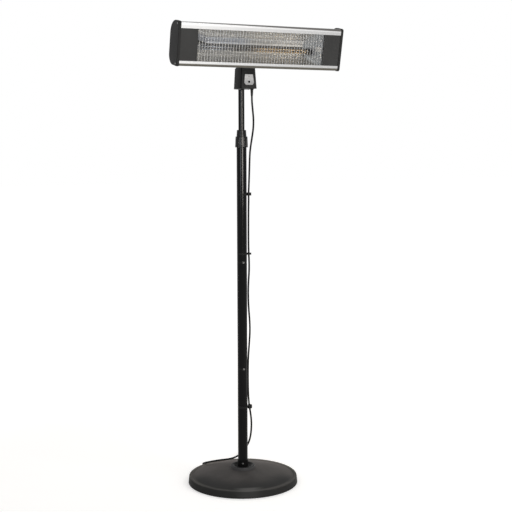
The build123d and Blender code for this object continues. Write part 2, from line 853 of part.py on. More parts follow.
def lamp_terminal():
    """A ceramic block standing on the right end wall, above the lamp."""
    slant = Vector(-mirror_slant, mirror_bends[-1][0], 0).normalized()
    foot = Vector(window_len / 2, mirror_y, 0) + slant * (terminal_deep / slant.Y)
    off_wall = Vector(-slant.Y, slant.X, 0)
    place = Plane(origin=foot + off_wall * seat_fit, x_dir=slant, z_dir=off_wall).location
    block = Box(terminal_len, terminal_h, terminal_t, align=bottom_up)
    return place * chamfer(block.edges().group_by(Axis.Z)[-1], 1.2)


def lamp_holders():
    far = lamp_len / 2 + holder_inset
    back = head_depth - head_wall
    web = Pos(far - holder_t, holder_near, 0) * Box(
        holder_t, back - holder_near, holder_w, align=(Align.MIN, Align.MIN, Align.CENTER)
    )
    foot = Pos(far, back - holder_t, 0) * Box(
        holder_foot, holder_t, holder_w, align=(Align.MIN, Align.MIN, Align.CENTER)
    )
    body = web + foot - lamp_axis(rod_x(ceramic_d + 2 * seat_fit, 0, head_len))
    return Compound([body, mirror(body, Plane.YZ)])


head["head_bracket"] = head_bracket()
head["bracket_screws"] = Compound(
    [place * pan_screw(yoke_screw_d, bracket_t + head_wall) for place in bracket_screw_places()]
)
head["housing"] = housing()
head["end_cap_left"] = end_cap(-1)
head["end_cap_right"] = end_cap(1)
head["cap_screws"] = cap_screws()
head["cheek_panel_left"] = cheek_panel(-1)
head["cheek_panel_right"] = cheek_panel(1)
head["grille"] = grille()
head["reflector"] = reflector()
head["reflector_end_left"] = reflector_end(-1)
head["reflector_end_right"] = reflector_end(1)
head["quartz_tube"] = quartz_tube()
head["carbon_element"] = carbon_element()
head["ceramic_ends"] = ceramic_ends()
head["lamp_holders"] = lamp_holders()
head["lamp_terminal"] = lamp_terminal()
outside_names = ("head_bracket", "bracket_screws", "housing", "end_cap_left", "end_cap_right", "cap_screws")
window_place = head_place * Pos(0, 0, -window_drop)
for name, shape in head.items():
    pieces[name] = (head_place if name in outside_names else window_place) * shape

# Cable clips, and the mains cord in the stand's own frame: across, behind, up
clip_bore = pole_d + 2 * seat_fit


def cable_clip(cord_off):
    neck_w = clip_h * 0.7
    clip = Cylinder(clip_bore / 2 + clip_band_t, clip_h)
    clip += Pos(cord_off, 0, 0) * Cylinder(clip_eye_d / 2, clip_h)
    reach = cord_off + clip_eye_d / 2 + clip_lug
    clip += Box(reach, neck_w, clip_h, align=(Align.MIN, Align.CENTER, Align.CENTER))
    clip -= Cylinder(clip_bore / 2, clip_h)
    clip -= Pos(-pole_d / 2, 0, 0) * Box(pole_d / 2, clip_mouth, clip_h)
    return clip - Pos(cord_off, 0, 0) * Cylinder(cord_d / 2 + clip_ease, clip_h)


def across_behind(x, y):
    turn = radians(-stand_turn)
    return x * cos(turn) - y * sin(turn), x * sin(turn) + y * cos(turn)


gland_exit = (*across_behind(gland_x, gland_y), box_z - gland_len)
upper_route = [
    gland_exit,
    (gland_exit[0], gland_exit[1], 1391),
    (40.2, -37.0, 1362),
    (42.9, -32.6, 1331),
    (42.4, -26.8, 1301),
    (38.6, -20.6, 1273),
    (34.6, -15.8, 1248),
]
middle_route = [
    (34.6, -15.8, 1248),
    (30.6, -11.0, 1223),
    (27.6, -7.0, 1191),
    (25.0, -3.4, 1150),
    (23.9, -1.0, 1106),
    (24.6, 0, 1066.5),
]
lower_route = [
    (24.6, 0, 1066.5),
    (24.95, 0.5, 1046.75),
    (24.1, 0.6, 1008),
    (23.8, 0.3, 960),
    (23.5, 0.1, 905),
    (24.0, 0.0, 856),
    (25.8, 0.2, 820),
    (25.7, 0.4, 782),
    (22.8, 0.2, 742),
    (21.8, 0.0, 700),
    (23.2, 0.3, 650),
    (27.2, 0.2, 602),
    (27.9, 0.2, 562),
    (25.4, 1.4, 520),
    (22.0, 4.2, 476),
    (20.4, 7.4, 430),
    (20.2, 8.2, 378),
    (20.8, 5.6, 330),
    (22.8, 1.6, 300),
    (26.2, -0.4, 274),
    (30.4, -0.6, 248),
    (32.3, 0.8, 222),
    (31.6, 4.4, 196),
    (29.0, 11.0, 169),
    (23.0, 20.0, 144),
    (11.6, 28.6, 119),
    (-4.0, 35.0, 97),
    (-24.0, 42.0, 80),
    (-44.0, 53.0, 70),
    (-64.0, 67.0, 62.6),
    (-84.0, 82.0, 56.4),
    (-104.0, 98.0, 50.5),
    (-124.0, 114.4, 43.6),
    (-140.0, 128.5, 36.6),
    (-150.5, 140.5, 28.6),
    (-154.5, 155.0, 19.5),
    (-150.0, 170.0, 11.0),
    (-138.0, 182.0, 5.4),
    (-115.0, 192.0, 3.6),
    (-87.0, 200.0, 3.6),
    (-56.0, 207.0, 3.6),
    (-26.0, 215.0, 4.2),
    (-6.0, 236.0, 8.0),
    (0, 260.0, plug_axis_z),
    (0, 276.0, plug_axis_z),
]


def cord_tube(route, label):
    points = [Vector(*p) for p in route]
    radii = []
    for before, here, after in zip(points, points[1:], points[2:]):
        turn = (here - before).get_angle(after - here)
        shorter = min((here - before).length, (after - here).length)
        radii.append(0.45 * shorter / tan(radians(turn / 2)))
    path = FilletPolyline(*points, radius=radii)
    section = Plane(origin=path @ 0, z_dir=path % 0) * Circle(cord_d / 2)
    solid = sweep(section, path)
    due = pi * cord_d**2 / 4 * path.length
    print(label, "length", round(path.length, 1), "volume over due", round(solid.volume / due, 4))
    print(label, "radii", [round(r) for r in radii])
    return turned(solid)


plug_place = Pos(*lower_route[-1])


def plug_body():
    boot = Cone(boot_d0 / 2, boot_d1 / 2, boot_len, align=bottom_up)
    pitch = boot_len / (boot_rings + 1)
    for i in range(1, boot_rings + 1):
        at = i * pitch
        ring_r = (boot_d0 + (boot_d1 - boot_d0) * at / boot_len) / 2
        groove = Cylinder(ring_r + 1, pitch / 3) - Cylinder(ring_r - 0.6, pitch / 3)
        boot -= Pos(0, 0, at) * groove
    back = Pos(0, 0, boot_len) * RectangleRounded(plug_w * 0.75, plug_h * 0.75, plug_round)
    front = Pos(0, 0, boot_len + plug_len) * RectangleRounded(plug_w, plug_h, plug_round)
    return plug_place * Rot(-90, 0, 0) * (boot + loft([back, front]))


def plug_pins():
    blade = Box(blade_t, blade_w, pin_len, align=bottom_up)
    earth = Cylinder(earth_d / 2, pin_len, align=bottom_up)
    pins = [Pos(side * blade_gap / 2, -3, 0) * blade for side in (-1, 1)]
    pins.append(Pos(0, earth_drop, 0) * fillet(earth.edges().group_by(Axis.Z)[-1], 2))
    face = plug_place * Rot(-90, 0, 0) * Pos(0, 0, boot_len + plug_len)
    return Compound([face * pin for pin in pins])


pieces["cable_clips"] = Compound([turned(Pos(0, 0, z) * cable_clip(off)) for off, z in clip_spots])
pieces["cord_upper"] = cord_tube(upper_route, "upper cord")
pieces["cord_middle"] = cord_tube(middle_route, "middle cord")
pieces["cord_lower"] = cord_tube(lower_route, "lower cord")
pieces["plug_body"] = turned(plug_body())
pieces["plug_pins"] = turned(plug_pins())

os.makedirs("parts", exist_ok=True)
for name, shape in pieces.items():
    export_step(shape, f"parts/{name}.step")
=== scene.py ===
import math

import bpy
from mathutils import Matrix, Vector


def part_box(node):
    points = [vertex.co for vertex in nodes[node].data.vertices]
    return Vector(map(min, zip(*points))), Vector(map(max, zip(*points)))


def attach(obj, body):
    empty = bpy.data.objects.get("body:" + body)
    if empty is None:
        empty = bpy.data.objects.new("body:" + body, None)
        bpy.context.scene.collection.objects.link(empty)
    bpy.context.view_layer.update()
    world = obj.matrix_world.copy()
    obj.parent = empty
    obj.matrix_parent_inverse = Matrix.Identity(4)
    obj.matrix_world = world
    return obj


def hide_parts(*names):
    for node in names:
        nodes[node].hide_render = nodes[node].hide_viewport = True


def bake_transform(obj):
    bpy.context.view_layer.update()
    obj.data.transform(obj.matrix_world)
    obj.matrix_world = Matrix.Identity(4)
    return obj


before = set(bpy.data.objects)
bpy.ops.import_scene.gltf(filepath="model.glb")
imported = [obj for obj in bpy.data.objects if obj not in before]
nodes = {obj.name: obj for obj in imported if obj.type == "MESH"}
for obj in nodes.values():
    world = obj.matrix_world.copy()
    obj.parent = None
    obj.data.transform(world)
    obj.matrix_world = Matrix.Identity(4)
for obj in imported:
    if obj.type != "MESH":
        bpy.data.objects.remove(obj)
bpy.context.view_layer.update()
print("frame loaded,", len(nodes), "nodes")


def clearSelection():
    bpy.ops.object.select_all(action="DESELECT")


def makeActive(piece):
    clearSelection()
    piece.select_set(True)
    bpy.context.view_layer.objects.active = piece


def roundShading(degrees):
    bpy.ops.object.shade_smooth_by_angle(angle=math.radians(degrees))


clearSelection()

# camera at the photograph's own angle
shot = {
    "distance": 3.774, "height": 1.2325, "azimuth": -24.0, "pitch": 5.95, "pan": 0.77, "roll": -0.167,
    "focal": 73.57, "sensor": 36.0, "farthest": 60,
}
swing = math.radians(shot["azimuth"])
shotPlace = (shot["distance"] * math.sin(swing), -shot["distance"] * math.cos(swing), shot["height"])
shotTurn = (math.radians(90 - shot["pitch"]), 0, swing - math.radians(shot["pan"]))
bpy.ops.object.camera_add(location=shotPlace, rotation=shotTurn)
camera = bpy.context.object
camera.name = "catalogueCamera"
camera.rotation_euler.rotate_axis("Z", math.radians(shot["roll"]))
camera.data.lens = shot["focal"]
camera.data.sensor_width = shot["sensor"]
camera.data.clip_end = shot["farthest"]
bpy.context.scene.camera = camera
print("camera placed")

# mains cord: each route's points in the stand's own frame, across, behind and up
lead = {"diameter": 0.0066, "standTurn": -24.0, "order": 3, "smooth": 5, "bevelSteps": 4, "smoothAngle": 50}
upperRoute = [
    (0.03719, -0.03927, 1.412), (0.03719, -0.03927, 1.391), (0.0402, -0.037, 1.362),
    (0.0429, -0.0326, 1.331), (0.0424, -0.0268, 1.301), (0.0386, -0.0206, 1.273), (0.0346, -0.0158, 1.248),
]
middleRoute = [
    (0.0346, -0.0158, 1.248), (0.0306, -0.011, 1.223), (0.0288, -0.0075, 1.191), (0.0277, -0.0040, 1.15),
    (0.0262, -0.0012, 1.106), (0.0246, 0, 1.0665),
]
lowerRoute = [
    (0.0246, 0, 1.0665), (0.02495, 0.0005, 1.04675), (0.0241, 0.0006, 1.008), (0.0238, 0.0003, 0.96),
    (0.0235, 0.0001, 0.905), (0.024, 0, 0.856), (0.0258, 0.0002, 0.82), (0.0257, 0.0004, 0.782),
    (0.0228, 0.0002, 0.742), (0.0218, 0, 0.7), (0.0232, 0.0003, 0.65), (0.0272, 0.0002, 0.602),
    (0.0279, 0.0002, 0.562), (0.0254, 0.0014, 0.52), (0.022, 0.0042, 0.476), (0.0204, 0.0074, 0.43),
    (0.0202, 0.0082, 0.378), (0.0208, 0.0056, 0.33), (0.0228, 0.0016, 0.3), (0.0262, -0.0004, 0.274),
    (0.0304, -0.0006, 0.248), (0.0323, 0.0008, 0.222), (0.0316, 0.0044, 0.196), (0.029, 0.011, 0.169),
    (0.023, 0.02, 0.144), (0.0116, 0.0286, 0.119), (-0.004, 0.035, 0.097), (-0.024, 0.042, 0.08),
    (-0.044, 0.053, 0.07), (-0.064, 0.067, 0.0626), (-0.084, 0.082, 0.0564), (-0.104, 0.098, 0.0485),
    (-0.124, 0.1144, 0.0400), (-0.14, 0.1285, 0.0325), (-0.1505, 0.1405, 0.0262), (-0.1545, 0.155, 0.0195),
    (-0.15, 0.17, 0.011), (-0.138, 0.182, 0.0054), (-0.115, 0.192, 0.0036), (-0.087, 0.2, 0.0036),
    (-0.056, 0.207, 0.0036), (-0.026, 0.215, 0.0042), (-0.006, 0.236, 0.008), (0, 0.26, 0.012),
    (0, 0.276, 0.012),
]


def standPoint(point):
    turn = math.radians(lead["standTurn"])
    across, behind, up = point
    return (
        across * math.cos(turn) - behind * math.sin(turn),
        across * math.sin(turn) + behind * math.cos(turn),
        up,
    )


def cordCurve(name, route):
    data = bpy.data.curves.new(name, "CURVE")
    data.dimensions = "3D"
    spline = data.splines.new("NURBS")
    spline.points.add(len(route) - 1)
    for spot, point in zip(spline.points, route):
        spot.co = (*standPoint(point), 1)
    spline.order_u = lead["order"]
    spline.use_endpoint_u = True
    data.resolution_u = lead["smooth"]
    piece = bpy.data.objects.new(name, data)
    bpy.context.scene.collection.objects.link(piece)
    return piece


def centreLine(piece):
    line = bpy.data.meshes.new_from_object(piece)
    points = [tuple(v.co) for v in line.vertices]
    bpy.data.meshes.remove(line)
    return points


def runLength(points):
    return sum((Vector(a) - Vector(b)).length for a, b in zip(points, points[1:]))


def cordTube(name, route):
    piece = cordCurve(name, route)
    line = centreLine(piece)
    piece.data.bevel_depth = lead["diameter"] / 2
    piece.data.bevel_resolution = lead["bevelSteps"]
    piece.data.use_fill_caps = True
    makeActive(piece)
    bpy.ops.object.convert(target="MESH")
    tube = bpy.context.object
    tube.name = name
    roundShading(lead["smoothAngle"])
    clearSelection()
    return tube, line


upperCord, upperLine = cordTube("upperCord", upperRoute)
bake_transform(upperCord)
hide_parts("cord_upper")

middleCord, middleLine = cordTube("middleCord", middleRoute)
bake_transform(middleCord)
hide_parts("cord_middle")

lowerCord, lowerLine = cordTube("lowerCord", lowerRoute)
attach(lowerCord, "stand")
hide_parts("cord_lower")
print("cords laid", round(runLength(upperLine) + runLength(middleLine) + runLength(lowerLine), 3), "m")


# small shader helpers
def mathNode(tree, kind, first, second=0):
    node = tree.nodes.new("ShaderNodeMath")
    node.operation = kind
    for socket, value in zip(node.inputs, (first, second)):
        if isinstance(value, (int, float)):
            socket.default_value = value
        else:
            tree.links.new(value, socket)
    return node.outputs[0]


def vectorNode(tree, kind, first, second=None):
    node = tree.nodes.new("ShaderNodeVectorMath")
    node.operation = kind
    tree.links.new(first, node.inputs[0])
    if isinstance(second, tuple):
        node.inputs[1].default_value = second
    elif second is not None:
        tree.links.new(second, node.inputs[1])
    return node.outputs["Value" if kind in ("LENGTH", "DOT_PRODUCT") else "Vector"]


def noiseNode(tree, vector, detail):
    noise = tree.nodes.new("ShaderNodeTexNoise")
    noise.inputs["Detail"].default_value = detail
    tree.links.new(vector, noise.inputs["Vector"])
    return noise


def coordinates(tree, source):
    return tree.nodes.new("ShaderNodeTexCoord").outputs[source]


def axisOf(tree, vector, axis):
    split = tree.nodes.new("ShaderNodeSeparateXYZ")
    tree.links.new(vector, split.inputs["Vector"])
    return split.outputs[axis]


def facing(tree, axis):
    return axisOf(tree, coordinates(tree, "Normal"), axis)


def placed(tree, axis):
    return axisOf(tree, coordinates(tree, "Object"), axis)


# smooth ramps: slope rises from low to high, fall sinks, band is one between its foot and its top
def slope(tree, value, low, high, start=0.0, end=1.0):
    ramp = tree.nodes.new("ShaderNodeMapRange")
    ramp.interpolation_type = "SMOOTHSTEP"
    for label, number in (("From Min", low), ("From Max", high), ("To Min", start), ("To Max", end)):
        ramp.inputs[label].default_value = number
    tree.links.new(value, ramp.inputs["Value"])
    return ramp.outputs["Result"]


def fall(tree, value, low, high):
    return slope(tree, value, low, high, 1, 0)


def band(tree, value, foot, top):
    return mathNode(tree, "MULTIPLY", slope(tree, value, *foot), fall(tree, value, *top))


def mixShade(tree, factor, first, second):
    mix = tree.nodes.new("ShaderNodeMix")
    mix.data_type = "RGBA"
    tree.links.new(factor, mix.inputs["Factor"])
    for socket, shade in ((mix.inputs["A"], first), (mix.inputs["B"], second)):
        if isinstance(shade, tuple):
            socket.default_value = (*shade, 1)
        else:
            tree.links.new(shade, socket)
    return mix.outputs["Result"]


# shared effects as shader groups
def newGroup(name, inputs, outputs):
    group = bpy.data.node_groups.new(name, "ShaderNodeTree")
    for label, value in inputs:
        group.interface.new_socket(label, in_out="INPUT", socket_type="NodeSocketFloat").default_value = value
    for label in outputs:
        group.interface.new_socket(label, in_out="OUTPUT", socket_type="NodeSocketFloat")
    start = group.nodes.new("NodeGroupInput")
    end = group.nodes.new("NodeGroupOutput")
    return group, start, end


# cast grain: fine noise with pits in it, and broad patches
grainNoise = {
    "scale": 160.0, "pits": 0.4, "fineDetail": 3.0, "fineRough": 0.6, "patchScale": 14.0, "patchDetail": 4.0,
}


def castGrainGroup():
    group, start, end = newGroup(
        "castGrain", [("Scale", grainNoise["scale"]), ("Pits", grainNoise["pits"])], ["Height", "Patches"])
    place = coordinates(group, "Object")
    fine = noiseNode(group, place, grainNoise["fineDetail"])
    fine.inputs["Roughness"].default_value = grainNoise["fineRough"]
    lumps = group.nodes.new("ShaderNodeTexVoronoi")
    lumps.feature = "SMOOTH_F1"
    group.links.new(place, lumps.inputs["Vector"])
    for node in (fine, lumps):
        group.links.new(start.outputs["Scale"], node.inputs["Scale"])
    patches = noiseNode(group, place, grainNoise["patchDetail"])
    patches.inputs["Scale"].default_value = grainNoise["patchScale"]
    pits = mathNode(group, "MULTIPLY", lumps.outputs["Distance"], start.outputs["Pits"])
    group.links.new(mathNode(group, "ADD", fine.outputs["Fac"], pits), end.inputs["Height"])
    group.links.new(patches.outputs["Fac"], end.inputs["Patches"])
    return group


# drawn lines: noise drawn out along the lamp head, and a broad cloud
lineNoise = {"density": 900.0, "stretch": 0.01, "lineDetail": 2.0, "cloudScale": 9.0, "cloudDetail": 3.0}


def drawnLinesGroup():
    group, start, end = newGroup(
        "drawnLines", [("Density", lineNoise["density"]), ("Stretch", lineNoise["stretch"])], ["Lines", "Cloud"])
    place = coordinates(group, "Object")
    stretch = group.nodes.new("ShaderNodeCombineXYZ")
    group.links.new(start.outputs["Stretch"], stretch.inputs["X"])
    stretch.inputs["Y"].default_value = 1
    stretch.inputs["Z"].default_value = 1
    drawn = vectorNode(group, "MULTIPLY", place, stretch.outputs["Vector"])
    lines = noiseNode(group, drawn, lineNoise["lineDetail"])
    group.links.new(start.outputs["Density"], lines.inputs["Scale"])
    cloud = noiseNode(group, place, lineNoise["cloudDetail"])
    cloud.inputs["Scale"].default_value = lineNoise["cloudScale"]
    group.links.new(lines.outputs["Fac"], end.inputs["Lines"])
    group.links.new(cloud.outputs["Fac"], end.inputs["Cloud"])
    return group


# the lamp head's own frame: along the lamp, behind the window and up its face
lampHead = {"pivot": (0, -0.064, 1.594), "tilt": 12.0, "pivotBack": 0.118}


def headFrameGroup():
    group, _, end = newGroup("headFrame", [], ["Along", "Behind", "Up"])
    level = group.nodes.new("ShaderNodeVectorRotate")
    level.rotation_type = "X_AXIS"
    level.inputs["Angle"].default_value = -math.radians(lampHead["tilt"])
    fromPivot = vectorNode(group, "SUBTRACT", coordinates(group, "Object"), lampHead["pivot"])
    group.links.new(fromPivot, level.inputs["Vector"])
    split = group.nodes.new("ShaderNodeSeparateXYZ")
    group.links.new(level.outputs["Vector"], split.inputs["Vector"])
    behind = mathNode(group, "ADD", split.outputs["Y"], lampHead["pivotBack"])
    group.links.new(split.outputs["X"], end.inputs["Along"])
    group.links.new(behind, end.inputs["Behind"])
    group.links.new(split.outputs["Z"], end.inputs["Up"])
    return group


castGrain = castGrainGroup()
drawnLines = drawnLinesGroup()
headFrame = headFrameGroup()


def useGroup(tree, group):
    node = tree.nodes.new("ShaderNodeGroup")
    node.node_tree = group
    return node


def grainOf(tree, scale, pits=grainNoise["pits"]):
    grain = useGroup(tree, castGrain)
    grain.inputs["Scale"].default_value = scale
    grain.inputs["Pits"].default_value = pits
    return grain.outputs


def linesOf(tree, look):
    lines = useGroup(tree, drawnLines)
    lines.inputs["Density"].default_value = look["density"]
    lines.inputs["Stretch"].default_value = look["stretch"]
    return lines.outputs


def headPlace(tree):
    return useGroup(tree, headFrame).outputs


print("shader groups made")

# what a look has unless it says otherwise, and the part of a noise that its ramps use
plain = {"specular": 0.5, "coat": 0, "pits": 0.3, "grainDepth": 0.0005, "lineDepth": 0.0002, "ramp": (0.3, 0.7)}


def finish(name, look, metallic=0.0):
    material = bpy.data.materials.new(name)
    material.use_nodes = True
    tree = material.node_tree
    shader = tree.nodes["Principled BSDF"]
    shader.inputs["Metallic"].default_value = look.get("metallic", metallic)
    shader.inputs["Specular IOR Level"].default_value = look.get("specular", plain["specular"])
    shader.inputs["Coat Weight"].default_value = look.get("coat", plain["coat"])
    return material, tree, shader


def spread(tree, factor, low, high, socket):
    ramp = tree.nodes.new("ShaderNodeMapRange")
    ramp.inputs["From Min"].default_value, ramp.inputs["From Max"].default_value = plain["ramp"]
    ramp.inputs["To Min"].default_value = low
    ramp.inputs["To Max"].default_value = high
    tree.links.new(factor, ramp.inputs["Value"])
    tree.links.new(ramp.outputs["Result"], socket)


def tint(tree, factor, look):
    ramp = tree.nodes.new("ShaderNodeValToRGB")
    for stop, position, shade in zip(ramp.color_ramp.elements, plain["ramp"], (look["dark"], look["light"])):
        stop.position = position
        stop.color = (*shade, 1)
    tree.links.new(factor, ramp.inputs["Fac"])
    return ramp.outputs["Color"]


def bumpFrom(tree, height, shader, strength, distance):
    bump = tree.nodes.new("ShaderNodeBump")
    bump.inputs["Strength"].default_value = strength
    bump.inputs["Distance"].default_value = distance
    tree.links.new(height, bump.inputs["Height"])
    tree.links.new(bump.outputs["Normal"], shader.inputs["Normal"])


def surface(tree, shader, look, shade, factor, height=None, depth=0.0):
    tree.links.new(shade, shader.inputs["Base Color"])
    spread(tree, factor, *look["rough"], shader.inputs["Roughness"])
    if look.get("bump"):
        bumpFrom(tree, height, shader, look["bump"], look.get("depth", depth))


def grainFinish(name, look):
    material, tree, shader = finish(name, look)
    grain = grainOf(tree, look["scale"], look.get("pits", plain["pits"]))
    shade = tint(tree, grain["Patches"], look)
    surface(tree, shader, look, shade, grain["Patches"], grain["Height"], plain["grainDepth"])
    return material


def drawnFinish(name, look):
    material, tree, shader = finish(name, look, metallic=1.0)
    lines = linesOf(tree, look)
    shade = tint(tree, lines["Cloud"], look)
    surface(tree, shader, look, shade, lines["Lines"], lines["Lines"], plain["lineDepth"])
    return material


ballastCement = grainFinish("ballastCement", {
    "dark": (0.30, 0.29, 0.27), "light": (0.42, 0.41, 0.39), "rough": (0.85, 0.95), "scale": 120,
    "pits": 0.7, "bump": 0.6, "depth": 0.001, "specular": 0.2,
})
poleGloss = grainFinish("poleGloss", {
    "dark": (0.0035, 0.0035, 0.0038), "light": (0.0055, 0.0055, 0.006), "rough": (0.12, 0.16), "scale": 320,
    "specular": 0.09,
})
socketPaint = grainFinish("socketPaint", {
    "dark": (0.006, 0.006, 0.006), "light": (0.009, 0.009, 0.009), "rough": (0.5, 0.6), "scale": 320,
    "specular": 0.03,
})
clutchPlastic = grainFinish("clutchPlastic", {
    "dark": (0.010, 0.010, 0.010), "light": (0.015, 0.015, 0.015), "rough": (0.24, 0.3), "scale": 700,
    "bump": 0.08, "depth": 0.0002, "specular": 0.12,
})
footRubber = grainFinish("footRubber", {
    "dark": (0.014, 0.014, 0.014), "light": (0.024, 0.023, 0.022), "rough": (0.65, 0.8), "scale": 500,
    "bump": 0.3, "specular": 0.3,
})
leadSheath = grainFinish("leadSheath", {
    "dark": (0.006, 0.006, 0.006), "light": (0.010, 0.010, 0.010), "rough": (0.42, 0.55), "scale": 600,
    "bump": 0.12, "depth": 0.0002, "specular": 0.1,
})
screwSteel = grainFinish("screwSteel", {
    "dark": (0.10, 0.10, 0.10), "light": (0.16, 0.16, 0.16), "rough": (0.3, 0.45), "scale": 500,
    "bump": 0.1, "metallic": 1.0,
})
bareSteel = drawnFinish("bareSteel", {
    "dark": (0.42, 0.42, 0.42), "light": (0.52, 0.52, 0.51), "rough": (0.28, 0.4), "density": 700,
    "stretch": 0.05, "bump": 0.1,
})
guardWire = drawnFinish("guardWire", {
    "dark": (0.345, 0.345, 0.350), "light": (0.41, 0.404, 0.39), "rough": (0.25, 0.38), "density": 600,
    "stretch": 1.0, "bump": 0.05,
})
# the right end wall's sheet, a darker copy of the left end's bright sheet: painted shade
shadedEndMirror = drawnFinish("shadedEndMirror", {
    "dark": (0.20, 0.203, 0.21), "light": (0.28, 0.28, 0.27), "rough": (0.4, 0.5), "density": 180,
    "stretch": 0.2, "bump": 0.05,
})
sideMirror = drawnFinish("sideMirror", {
    "dark": (0.80, 0.81, 0.83), "light": (0.86, 0.85, 0.83), "rough": (0.04, 0.08), "density": 180,
    "stretch": 0.2, "bump": 0.02,
})
pinBrass = drawnFinish("pinBrass", {
    "dark": (0.62, 0.55, 0.40), "light": (0.72, 0.65, 0.48), "rough": (0.2, 0.3), "density": 500,
    "stretch": 1.0, "bump": 0.05,
})
lampCeramic = grainFinish("lampCeramic", {
    "dark": (0.70, 0.68, 0.64), "light": (0.78, 0.77, 0.74), "rough": (0.35, 0.5), "scale": 400, "bump": 0.1,
})
ribbonCarbon = grainFinish("ribbonCarbon", {
    "dark": (0.05, 0.045, 0.04), "light": (0.09, 0.075, 0.06), "rough": (0.5, 0.6), "scale": 600, "bump": 0.2,
})
lensRed = grainFinish("lensRed", {
    "dark": (0.22, 0.17, 0.165), "light": (0.28, 0.21, 0.205), "rough": (0.12, 0.2), "scale": 300,
    "bump": 0.03, "coat": 0.5,
})
bushClay = grainFinish("bushClay", {
    "dark": (0.30, 0.31, 0.33), "light": (0.38, 0.385, 0.39), "rough": (0.6, 0.75), "scale": 500,
    "bump": 0.3, "depth": 0.0003, "specular": 0.3,
})
ferruleDark = grainFinish("ferruleDark", {
    "dark": (0.016, 0.016, 0.017), "light": (0.026, 0.026, 0.027), "rough": (0.45, 0.55), "scale": 500,
    "bump": 0.1, "depth": 0.0002, "specular": 0.2,
})


# moulded plastic with painted shade: darker on its left and right sides than on its front, the box's sides
# darkest at their front end
def mouldedFinish(name, look):
    material, tree, shader = finish(name, look)
    grain = grainOf(tree, look["scale"])
    sideways = mathNode(tree, "ABSOLUTE", facing(tree, "X"))
    # painted shade: each side's colour runs from its front end to its back
    shadedFlank = mixShade(tree, slope(tree, placed(tree, "Y"), *look["backFrom"]), look["side"], look["sideBack"])
    shade = mixShade(tree, slope(tree, sideways, *look["sideFrom"]), look["front"], shadedFlank)
    surface(tree, shader, look, shade, grain["Patches"], grain["Height"])
    return material


capPlastic = mouldedFinish("capPlastic", {
    "front": (0.041, 0.041, 0.041), "side": (0.0243, 0.0243, 0.0245), "sideBack": (0.0243, 0.0243, 0.0245),
    "sideFrom": (0.6, 0.9), "backFrom": (-0.066, -0.018), "rough": (0.5, 0.6), "scale": 800,
    "bump": 0.3, "depth": 0.0002, "specular": 0.07,
})
boxPlastic = mouldedFinish("boxPlastic", {
    "front": (0.054, 0.054, 0.054), "side": (0.0015, 0.0015, 0.0016), "sideBack": (0.0290, 0.0292, 0.0295),
    "sideFrom": (0.5, 0.9), "backFrom": (-0.060, -0.018), "rough": (0.45, 0.55), "scale": 900,
    "bump": 0.3, "depth": 0.0002, "specular": 0.04,
})

# dark cheek panels, their sides facing along the lamp painted light as a painted reflection over the shade beside
# the window
cheek = {
    "paint": ((0.040, 0.040, 0.040), (0.050, 0.050, 0.050)), "edge": (0.42, 0.42, 0.425), "edgeFrom": (0.5, 0.8),
    "rough": (0.45, 0.55), "scale": 600, "bump": 0.2, "depth": 0.0002, "specular": 0.2,
}


def cheekFinish():
    material, tree, shader = finish("cheekPaint", cheek)
    grain = grainOf(tree, cheek["scale"])
    sideways = mathNode(tree, "ABSOLUTE", facing(tree, "X"))
    paint = mixShade(tree, slope(tree, grain["Patches"], *plain["ramp"]), *cheek["paint"])
    # painted reflection on the sides that face along the lamp
    shade = mixShade(tree, slope(tree, sideways, *cheek["edgeFrom"]), paint, cheek["edge"])
    surface(tree, shader, cheek, shade, grain["Patches"], grain["Height"])
    return material


cheekPaint = cheekFinish()

# brushed control plate, painted lighter towards its top: painted light against the head's shade on it
plate = {
    "low": (0.375, 0.377, 0.385), "high": (0.66, 0.66, 0.665), "inset": 0.004, "rough": (0.35, 0.45),
    "density": 900, "stretch": 0.02, "bump": 0.1, "depth": 0.0002, "metallic": 0.6,
}


def heightsOf(name):
    heights = [corner[2] for corner in nodes[name].bound_box]
    return min(heights), max(heights)


def plateFinish():
    material, tree, shader = finish("plateSilver", plate)
    lines = linesOf(tree, plate)
    foot, top = heightsOf("control_plate")
    # painted light: the plate grows lighter towards its top
    rise = slope(tree, placed(tree, "Z"), foot + plate["inset"], top - plate["inset"])
    shade = mixShade(tree, rise, plate["low"], plate["high"])
    surface(tree, shader, plate, shade, lines["Lines"], lines["Lines"])
    return material


plateSilver = plateFinish()

# gloss pole sections, each seam painted lighter as a painted highlight, with a bright painted glint at its front
lacquer = {
    "gloss": ((0.0035, 0.0035, 0.0038), (0.0055, 0.0055, 0.006)), "ring": (0.022, 0.022, 0.022),
    "glint": (0.62, 0.61, 0.60), "seamHalf": (0.0032, 0.0014), "glintAt": (-0.122, -0.993, 0),
    "glintFrom": (0.975, 0.996), "rough": (0.12, 0.16), "scale": 320, "specular": 0.09,
}


def lacquerFinish():
    material, tree, shader = finish("poleLacquer", lacquer)
    patches = grainOf(tree, lacquer["scale"])["Patches"]
    up = placed(tree, "Z")
    rings = []
    for seam in heightsOf("middle_pole"):
        away = mathNode(tree, "ABSOLUTE", mathNode(tree, "SUBTRACT", up, seam))
        rings.append(slope(tree, away, *lacquer["seamHalf"]))
    ring = mathNode(tree, "MAXIMUM", *rings)
    # painted glint at the front of each seam
    front = vectorNode(tree, "DOT_PRODUCT", coordinates(tree, "Normal"), lacquer["glintAt"])
    glint = mathNode(tree, "MULTIPLY", ring, slope(tree, front, *lacquer["glintFrom"]))
    shade = mixShade(tree, ring, mixShade(tree, patches, *lacquer["gloss"]), lacquer["ring"])
    surface(tree, shader, lacquer, mixShade(tree, glint, shade, lacquer["glint"]), patches)
    return material


poleLacquer = lacquerFinish()
